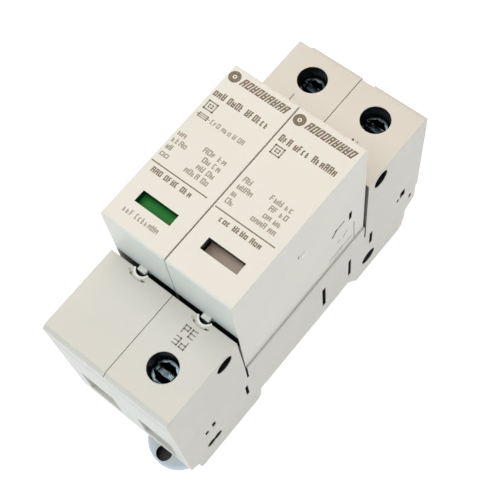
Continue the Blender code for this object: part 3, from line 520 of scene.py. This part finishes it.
def print_module(side_name, shift, has_fuse_row, brown, grey):
    """The printing on a module's front: header, symbols, ratings, a rule and a type row."""
    low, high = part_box(side_name + "_module_cap")
    body = side_name + "_module"
    header = front_sheet(low, high)
    header.ring(1.8, 2.65 + shift * 0.5, 1.45, 0.5)
    header.ring(1.8, 2.65 + shift * 0.5, 0.22, 0.02, 12)
    header.words(3.6, 1.65 + shift * 0.5, 12.4, 2.0, 0.43, (9,), lean=0.6, bold=True)
    header.finish(body + "_header_print", body, brown)

    text = front_sheet(low, high)
    text.words(0.7 + shift, 7.1 + shift, 14.7, 1.75, 0.33, (3, 4, 6))
    text.words(1.9 + shift * 3, 29.2 + shift, 10.8, 1.35, 0.29, (3, 4, 3))
    text.bar(0.4, 28.15 + shift, 15.1 + shift, 0.28)
    text.finish(body + "_type_print", body, brown)

    small = front_sheet(low, high)
    print_symbols(small, 1.0 + shift, has_fuse_row)
    if has_fuse_row:
        small.words(3.2, 39.5, 9.4, 1.35, 0.24, (3, 7))
    right = 13.8 + shift
    for number, (label, label_signs, value, value_groups) in enumerate(RATING_ROWS):
        down = RATINGS_TOP + RATINGS_PITCH * number + shift
        small.words(0.8 + shift, down, label, RATINGS_HEIGHT, 0.25, (label_signs,))
        small.words(right - value, down, value, RATINGS_HEIGHT, 0.26, value_groups)
    small.finish(body + "_ratings_print", body, grey)


def middle_of(node):
    low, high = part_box(node)
    return (low + high) / 2


def print_shoulders(ink, faint, highlight_plastic):
    """Terminal letters and the press marks beside the catches, on the housings' shoulders, and painted
    highlights on the notch rims.
    """
    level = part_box("pole_housing_left")[1].z
    letters = Sheet((0, 0, level))
    earth = middle_of("earth_screw") / MM
    line = middle_of("line_screw") / MM
    neutral = middle_of("neutral_screw") / MM
    write(letters, "PE", earth.x - 2.15, -earth.y - 10.3, 1.25, 1.9, 0.32)
    write(letters, "PE", earth.x - 2.35, -earth.y - 7.3, 1.25, 1.8, 0.32, turned=True)
    write(letters, "L", line.x - 1.05, -line.y + 5.6, 1.3, 1.9, 0.34)
    write(letters, "N", neutral.x - 1.05, -neutral.y + 6.9, 1.3, 1.9, 0.34)
    letters.finish("terminal_letters", "base", ink)

    marks = Sheet((0, 0, level))
    for node in ("left_module_catch", "right_module_catch"):
        catch = middle_of(node) / MM
        start = math.radians(62)
        marks.ring(catch.x, -catch.y - 0.5, 4.35, 4.0, 16, start, math.pi - 2 * start)
        marks.line((catch.x - 2.5, -catch.y + 2.8), (catch.x - 1.6, -catch.y + 3.1), 0.6)
        marks.line((catch.x + 1.5, -catch.y + 3.2), (catch.x + 2.1, -catch.y + 3.1), 0.5)
    marks.finish("press_marks", "base", faint)

    # bright crescents of painted highlight along the rounded rims of the catch notches
    rims = Sheet((0, 0, level), height=0.05 * MM)
    for node in ("left_module_catch", "right_module_catch"):
        low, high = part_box(node)
        start = math.radians(15)
        rims.ring((low.x + high.x) / 2 / MM, -low.y / MM - 0.7, 2.1, 1.68, 24, start, math.pi - 2 * start)
    rims.finish("notch_rim_highlights", "base", highlight_plastic)


def dome(centre, radius, height):
    """A closed button that stands out along +X."""
    levels = 6
    sides = 24
    shape = bmesh.new()
    rings = []
    for level in range(levels):
        turn = level / levels * math.pi / 2
        ring = []
        for side in range(sides):
            angle = 2 * math.pi * side / sides
            reach = radius * math.cos(turn)
            place = Vector((height * math.sin(turn), reach * math.cos(angle), reach * math.sin(angle)))
            ring.append(shape.verts.new(centre + place))
        rings.append(ring)
    tip = shape.verts.new(centre + Vector((height, 0, 0)))
    shape.faces.new(rings[0][::-1])
    for near, far in zip(rings, rings[1:]):
        for side in range(sides):
            after = (side + 1) % sides
            shape.faces.new((near[side], near[after], far[after], far[side]))
    for side in range(sides):
        shape.faces.new((rings[-1][side], rings[-1][(side + 1) % sides], tip))
    return shape


def module_side_marks(highlight_plastic, faint, shade, step_shade):
    """Moulding marks on the right module's side: a pip coloured as painted highlight, a hooked arrow drawn as
    painted shade and faint sink lines drawn as painted shade.
    """
    low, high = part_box("right_module_cap")
    corner = (high.x, (low.y + high.y) / 2, high.z)
    # the pip is brighter than the cap plastic, as painted highlight on its dome
    pip = dome(Vector(corner) + Vector((-0.02, 0.15, -13.3)) * MM, 0.95 * MM, 0.4 * MM)
    smooth(keep_object("module_side_pip", pip, "right_module")).data.materials.append(highlight_plastic)
    marks = Sheet(corner, right=(0, 1, 0), up=(0, 0, 1), height=0.04 * MM)
    marks.line((18.2, 27.7), (18.45, 36.0), 0.42)
    marks.line((15.6, 27.5), (14.1, 28.8), 0.35)
    marks.line((12.7, 28.2), (12.4, 28.8), 0.45)
    marks.finish("module_side_marks", "right_module", faint)
    # the moulded hooked arrow is drawn dark, as painted shade of its raised strokes
    arrow = Sheet(corner, right=(0, 1, 0), up=(0, 0, 1), height=0.04 * MM)
    arrow.line((14.2, 21.0), (11.4, 21.1), 0.5)
    arrow.line((11.5, 21.0), (10.35, 22.5), 0.75)
    arrow.ring(-1.1, 12.2, 0.65, 0.35, 10, math.radians(110), math.radians(150))
    arrow.finish("module_side_arrow", "right_module", shade)
    # the faint sink lines are drawn darker than the cap, as painted shade of shallow steps
    sinks = Sheet(corner, right=(0, 1, 0), up=(0, 0, 1), height=0.02 * MM)
    sinks.line((15.2, 33.1), (10.5, 36.0), 0.5)
    sinks.line((2.8, 35.6), (-4.0, 36.2), 0.35)
    sinks.finish("module_side_sink_shade", "right_module", step_shade)


LIP_START = 4.0                # from the pole's left side
LIP_MARGIN = 0.5
LIP_DEPTH = 1.35               # behind the upper end


def lip_lines(step_shade):
    """A line of painted shade along the fine step behind the upper lip of each pole."""
    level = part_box("pole_housing_left")[1].z
    sheet = Sheet((0, 0, level), height=0.02 * MM)
    for side in ("left", "right"):
        low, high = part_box("pole_housing_" + side)
        start = low.x / MM + LIP_START
        sheet.bar(start, -high.y / MM + LIP_DEPTH, high.x / MM - LIP_MARGIN - start, 0.22)
    sheet.finish("lip_lines", "base", step_shade)


# ---- parts of the model ----------------------------------------------------------------------

def make_surfaces():
    return {
        "housing_plastic": moulded_plastic("housing_plastic", (0.685, 0.66, 0.60)),
        "cap_plastic": moulded_plastic("cap_plastic", (0.785, 0.765, 0.695)),
        "inner_plastic": moulded_plastic("inner_plastic", (0.60, 0.58, 0.54), 0.5),
        "foot_plastic": moulded_plastic("foot_plastic", (0.61, 0.655, 0.69), 0.4),
        "flag_green": indicator("flag_green", (0.004, 0.20, 0.022), (0.003, 0.13, 0.013)),
        "status_plate": indicator("status_plate", (0.60, 0.485, 0.42), (0.44, 0.355, 0.31)),
        "varistor_coating": dipped_coating("varistor_coating", (0.03, 0.10, 0.30)),
        "ceramic": fired_ceramic("ceramic", (0.85, 0.83, 0.79)),
        "steel": metal("plated_steel", (0.60, 0.61, 0.63), 0.3),
        "tinned_steel": metal("tinned_steel", (0.70, 0.70, 0.69), 0.34, patina=(0.48, 0.47, 0.45)),
        "spring_steel": metal("spring_steel", (0.50, 0.51, 0.53), 0.25),
        "copper": metal("copper", (0.80, 0.42, 0.27), 0.28, patina=(0.48, 0.22, 0.13), streaks=(1, 9, 1)),
        "tinned_copper": metal("tinned_copper", (0.74, 0.73, 0.70), 0.3, patina=(0.58, 0.52, 0.45)),
    }


# edge radius and surface of each CAD node's finer copy
FINE_PARTS = {
    "pole_partition": (0.2, "inner_plastic"),
    "housing_rivet_upper": (0.25, "steel"),
    "housing_rivet_lower": (0.25, "steel"),
    "line_clamp_cage": (0.25, "tinned_steel"),
    "neutral_clamp_cage": (0.25, "tinned_steel"),
    "earth_clamp_cage": (0.25, "tinned_steel"),
    "line_busbar": (0.25, "copper"),
    "neutral_busbar": (0.25, "copper"),
    "earth_busbar": (0.25, "copper"),
    "line_fork": (0.12, "tinned_copper"),
    "left_neutral_fork": (0.12, "tinned_copper"),
    "right_neutral_fork": (0.12, "tinned_copper"),
    "earth_fork": (0.12, "tinned_copper"),
    "left_module_chassis": (0.15, "inner_plastic"),
    "left_module_line_blade": (0.15, "tinned_copper"),
    "left_module_neutral_blade": (0.15, "tinned_copper"),
    "varistor": (0.15, "varistor_coating"),
    "varistor_tab": (0.1, "tinned_copper"),
    "disconnect_arm": (0.1, "copper"),
    "arm_pivot_pin": (0.1, "steel"),
    "status_flag": (0.1, "flag_green"),
    "left_module_catch": (0.15, "cap_plastic"),
    "right_module_chassis": (0.15, "inner_plastic"),
    "right_module_neutral_blade": (0.15, "tinned_copper"),
    "right_module_earth_blade": (0.15, "tinned_copper"),
    "spark_gap_tube": (0.25, "ceramic"),
    "spark_gap_upper_cap": (0.3, "tinned_steel"),
    "spark_gap_lower_cap": (0.3, "tinned_steel"),
    "status_plate": (0.15, "status_plate"),
    "right_module_catch": (0.15, "cap_plastic"),
}

WELL_RADIUS = 3.62 * MM        # a little over the screw shafts' radius
RIVET_RADIUS = 2.42 * MM
NOTCH_RADIUS = 1.68 * MM
SHADE_START = 0.25 * MM       # painted shade starts this far below the face that a hole opens in
MARK_DEPTH = 3.0 * MM          # deepest slot in the side faces
GROOVE_DEPTH = 6.7 * MM        # the joint's end grooves go this far below the deck
ENTRY_FOOT_Z = 12.25 * MM      # the upper wire entries end here, just above a step in the wall
JOINT_CLOSE = 0.27 * MM        # the caps' feet reach this much nearer to the base
SHADOW_STRIPE_HEIGHT = 5.5 * MM       # of the stripe of painted shadow on the caps' end walls


def make_parts(surfaces):
    for node, (edge, slot) in FINE_PARTS.items():
        softened(node, edge * MM, surfaces[slot])


def make_housings(surfaces):
    """The two housings. Shafts, rivet holes, slots and the bay's end walls are darkened as painted shade."""
    shaft_shade = shadow_plastic("shaft_painted_shade", (0.010, 0.012, 0.014))
    slot_shade = shadow_plastic("slot_painted_shade", (0.045, 0.045, 0.040))
    bay_wall_shade = moulded_plastic("bay_wall_painted_shade", (0.17, 0.165, 0.15), 0.5)
    sides = (("left", ["line_screw"]), ("right", ["neutral_screw", "earth_screw"]))
    rivets = [middle_of("housing_rivet_upper"), middle_of("housing_rivet_lower")]
    for side, screws in sides:
        node = "pole_housing_" + side
        low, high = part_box(node)
        cap_low, cap_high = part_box(side + "_module_cap")
        outer = max(abs(low.x), abs(high.x))

        def ledge(place, outer=outer, deck=cap_low.z, end=high.y):
            groove = abs(place.x) > outer - 1.3 * MM and deck - GROOVE_DEPTH < place.z < deck + 1.3 * MM
            return groove or place.y > end - 3 * MM and abs(place.z - ENTRY_FOOT_Z) < 0.3 * MM

        made = softened(node, 0.13 * MM, surfaces["housing_plastic"], ledge)
        catch_low, catch_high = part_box(side + "_module_catch")
        notch = Vector(((catch_low.x + catch_high.x) / 2, catch_low.y + 0.7 * MM))
        shafts = [(middle_of(screw).to_2d(), WELL_RADIUS) for screw in screws] + [(notch, NOTCH_RADIUS)]

        # faces inside the screw wells, the catch notch and the rivet holes get black painted shade
        def in_shaft(centre, normal, shafts=shafts, high=high, outer=outer):
            if any((centre.to_2d() - axis).length < radius for axis, radius in shafts):
                return centre.z < high.z - SHADE_START
            near_rivet = any((centre - rivet).yz.length < RIVET_RADIUS for rivet in rivets)
            return near_rivet and abs(centre.x) < outer - SHADE_START / 2

        # faces inside the side slots get dim painted shade; the deck's top is left out
        def in_slot(centre, normal, low=low, high=high, outer=outer, cap_low=cap_low):
            on_deck = normal.z > 0.7 and abs(centre.z - cap_low.z) < 0.6 * MM
            if on_deck:
                return False
            within = low.y + 2.0 * MM < centre.y < high.y - 2.0 * MM and 6 * MM < centre.z < high.z - MM
            return within and outer - MARK_DEPTH < abs(centre.x) < outer - SHADE_START

        # the bay's end walls beside the caps are darkened as painted shade
        def in_bay_wall(centre, normal, high=high, cap_low=cap_low, cap_high=cap_high):
            end_wall = abs(normal.y) > 0.7 and cap_low.z < centre.z < high.z - 0.3 * MM
            return end_wall and min(abs(centre.y - cap_low.y), abs(centre.y - cap_high.y)) < 1.3 * MM

        paint_faces(made, slot_shade, in_slot)
        paint_faces(made, bay_wall_shade, in_bay_wall)
        paint_faces(made, shaft_shade, in_shaft)


def make_foot(surfaces):
    """The latch foot, with its blind screwdriver hole in painted shade."""
    made = softened("latch_foot", 0.15 * MM, surfaces["foot_plastic"])
    low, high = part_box("latch_foot")
    hole = Vector(((low.x + high.x) / 2, low.y + 2.5 * MM))

    def lined(centre, normal):
        return (centre.to_2d() - hole).length < 2.06 * MM and centre.z < high.z - 0.1 * MM

    # the hole's walls and floor are near-black painted shade
    paint_faces(made, shadow_plastic("foot_hole_painted_shade", (0.006, 0.007, 0.009)), lined)


def split_at(item, level):
    """Cut the faces that cross a height, so that each side of it can have its own surface."""
    shape = bmesh.new()
    shape.from_mesh(item.data)
    everything = list(shape.verts) + list(shape.edges) + list(shape.faces)
    bmesh.ops.bisect_plane(shape, geom=everything, plane_co=(0, 0, level), plane_no=(0, 0, 1))
    shape.to_mesh(item.data)
    shape.free()


def make_caps(surfaces):
    """The module caps: window edges in painted shade, and a foot that nearly closes the joint with the base.

    A stripe of painted shadow runs across each end wall, just under the shoulder beside it.
    """
    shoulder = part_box("pole_housing_left")[1].z
    stripe = (shoulder - SHADOW_STRIPE_HEIGHT, shoulder - 0.15 * MM)
    stripe_shade = shadow_plastic("end_painted_shadow", (0.012, 0.013, 0.014))
    # window walls in painted shade; the left one is tinted green as a painted reflection of the flag
    window_shades = {
        "left": shadow_plastic("green_window_painted_shade", (0.006, 0.035, 0.010)),
        "right": shadow_plastic("plain_window_painted_shade", (0.030, 0.028, 0.026)),
    }
    for side, window_shade in window_shades.items():
        node = side + "_module_cap"
        low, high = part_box(node)
        foot_z = low.z + 0.05 * MM
        made = softened(
            node, 0.12 * MM, surfaces["cap_plastic"], lambda place: place.z < foot_z
        )
        for vertex in made.data.vertices:
            if vertex.co.z < foot_z:
                vertex.co.z -= JOINT_CLOSE
        inset = 2.5 * MM

        def in_window(centre, normal, low=low, high=high):
            beside = high.y - 8 * MM < centre.y < high.y - 3 * MM and centre.z < high.z - 5 * MM
            if beside and min(centre.x - low.x, high.x - centre.x) > 0.15 * MM:
                return abs(normal.x) < 0.5 and low.z + 8 * MM < centre.z
            inside = low.x + inset < centre.x < high.x - inset and low.y + inset < centre.y < high.y - inset
            return inside and abs(normal.z) < 0.5 and centre.z > high.z - 1.7 * MM

        paint_faces(made, window_shade, in_window)
        for level in stripe:
            split_at(made, level)

        # faces of the end walls within the stripe get painted shadow
        def in_stripe(centre, normal):
            return abs(normal.y) > 0.9 and stripe[0] < centre.z < stripe[1]

        paint_faces(made, stripe_shade, in_stripe)


def make_screws():
    for node in ("line_screw", "neutral_screw", "earth_screw"):
        softened(node, 0.3 * MM, turned_steel(node + "_steel", node))


def coil(name, start, end, radius, wire, turns, body, surface, slot, node):
    """A round-wire helix between two points, finer than the CAD node that it stands for."""
    steps = 28
    sides = 10
    axis = end - start
    along = axis.normalized()
    across = along.orthogonal().normalized()
    third = along.cross(across)
    shape = bmesh.new()
    rings = []
    total = int(turns * steps)
    for index in range(total + 1):
        angle = 2 * math.pi * index / steps
        outward = across * math.cos(angle) + third * math.sin(angle)
        centre = start + axis * (index / total) + outward * radius
        ring = []
        for side in range(sides):
            turn = 2 * math.pi * side / sides
            ring.append(shape.verts.new(centre + (outward * math.cos(turn) + along * math.sin(turn)) * wire))
        rings.append(ring)
    for near, far in zip(rings, rings[1:]):
        for side in range(sides):
            after = (side + 1) % sides
            shape.faces.new((near[side], near[after], far[after], far[side]))
    shape.faces.new(rings[0][::-1])
    shape.faces.new(rings[-1])
    bmesh.ops.recalc_face_normals(shape, faces=shape.faces)
    made = keep_object(name, shape, body)
    made.data.materials.append(surface)
    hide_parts(node)
    return smooth(made)


def make_springs(surfaces):
    """The latch foot's spring and the arm's spring."""
    steel = surfaces["spring_steel"]
    low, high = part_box("latch_spring")
    middle = (low + high) / 2
    wire = 0.25 * MM
    start = Vector((middle.x, low.y + wire, middle.z))
    end = Vector((middle.x, high.y - wire, middle.z))
    radius = (high.x - low.x) / 2 - wire
    ends = (start, end, radius, wire, 7)
    foot_spring = coil("latch_spring_fine", *ends, "base", steel, "spring_steel", "latch_spring")
    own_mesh(foot_spring)

    low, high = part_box("disconnect_spring")
    middle = (low + high) / 2
    wire = 0.2 * MM
    start = Vector((low.x + wire, middle.y, middle.z))
    end = Vector((high.x - wire, middle.y, middle.z))
    radius = (high.y - low.y) / 2 - wire
    body = frame["nodes"]["disconnect_spring"]["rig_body"]
    ends = (start, end, radius, wire, 3)
    coil("disconnect_spring_fine", *ends, body, steel, "spring_steel", "disconnect_spring")


# ---- stage -----------------------------------------------------------------------------------

def make_floor():
    shape = bmesh.new()
    corners = [(-1, -1), (1, -1), (1, 1), (-1, 1)]
    level = cad_low.z - 0.2 * MM
    shape.faces.new([shape.verts.new((x * FLOOR_HALF, y * FLOOR_HALF, level)) for x, y in corners])
    mesh = bpy.data.meshes.new("floor")
    shape.to_mesh(mesh)
    shape.free()
    item = bpy.data.objects.new("floor", mesh)
    item.data.materials.append(floor_surface())
    bpy.context.scene.collection.objects.link(item)


def facing(place, aim, up):
    """Matrix of a camera or light at a place, looking at a point."""
    back = (place - aim).normalized()
    right = up.cross(back).normalized()
    true_up = back.cross(right)
    turn = Matrix((right, true_up, back)).transposed().to_4x4()
    return Matrix.Translation(place) @ turn


def soft_light(name, place, size, power, colour):
    data = bpy.data.lights.new(name, "AREA")
    data.shape = "RECTANGLE"
    data.size = size[0]
    data.size_y = size[1]
    data.energy = power
    data.color = colour
    item = bpy.data.objects.new(name, data)
    item.matrix_world = facing(Vector(place), Vector((0, 0, 0.03)), Vector((0.1, 1, 0.2)))
    bpy.context.scene.collection.objects.link(item)


def make_light():
    soft_light("overhead", (-0.20, -0.04, 0.95), (1.15, 1.15), 8.75, (1.0, 0.970, 0.92))
    soft_light("warm_card", (-0.10, 0.42, 0.42), (0.35, 0.25), 0.5, (1.0, 0.54, 0.30))
    soft_light("end_window", (0.05, -1.1, 0.30), (1.0, 0.6), 2.3, (0.24, 0.68, 1.0))
    soft_light("right_fill", (0.30, 0.22, 0.22), (0.2, 0.2), 0.009, (0.92, 1.0, 0.95))
    world = bpy.data.worlds.new("studio")
    world.use_nodes = True
    sky = world.node_tree.nodes["Background"]
    sky.inputs["Color"].default_value = (0.90, 0.97, 1.0, 1.0)
    sky.inputs["Strength"].default_value = 0.28
    bpy.context.scene.world = world


def make_camera():
    data = bpy.data.cameras.new("camera")
    data.lens = CAMERA_LENS
    data.sensor_width = 36.0
    data.shift_x, data.shift_y = CAMERA_SHIFT
    data.clip_start = 0.01
    item = bpy.data.objects.new("camera", data)
    item.matrix_world = facing(CAMERA_PLACE, CAMERA_AIM, CAMERA_UP)
    bpy.context.scene.collection.objects.link(item)
    bpy.context.scene.camera = item


def build():
    bpy.context.scene.view_settings.view_transform = "Standard"
    surfaces = make_surfaces()
    make_parts(surfaces)
    make_housings(surfaces)
    make_foot(surfaces)
    make_caps(surfaces)
    make_screws()
    make_springs(surfaces)
    brown = printing_ink("header_ink", (0.150, 0.112, 0.070))
    grey = printing_ink("ratings_ink", (0.25, 0.215, 0.175))
    faint = printing_ink("faint_marks", (0.40, 0.385, 0.33))
    # dark tone for the moulded arrow, which is painted shade
    shade = printing_ink("arrow_painted_shade", (0.13, 0.125, 0.095))
    # darker tone for sink lines and the lip steps, which is painted shade
    step_shade = printing_ink("step_painted_shade", (0.55, 0.53, 0.475))
    # near-white plastic that stands for painted highlight on the side pip and the notch rims
    highlight_plastic = moulded_plastic("painted_highlight_plastic", (0.93, 0.93, 0.90), 0.45, 0.2)
    print_module("left", 0.0, True, brown, grey)
    print_module("right", 0.35, False, brown, grey)
    print_shoulders(grey, faint, highlight_plastic)
    module_side_marks(highlight_plastic, faint, shade, step_shade)
    lip_lines(step_shade)
    make_floor()
    make_light()
    make_camera()


build()
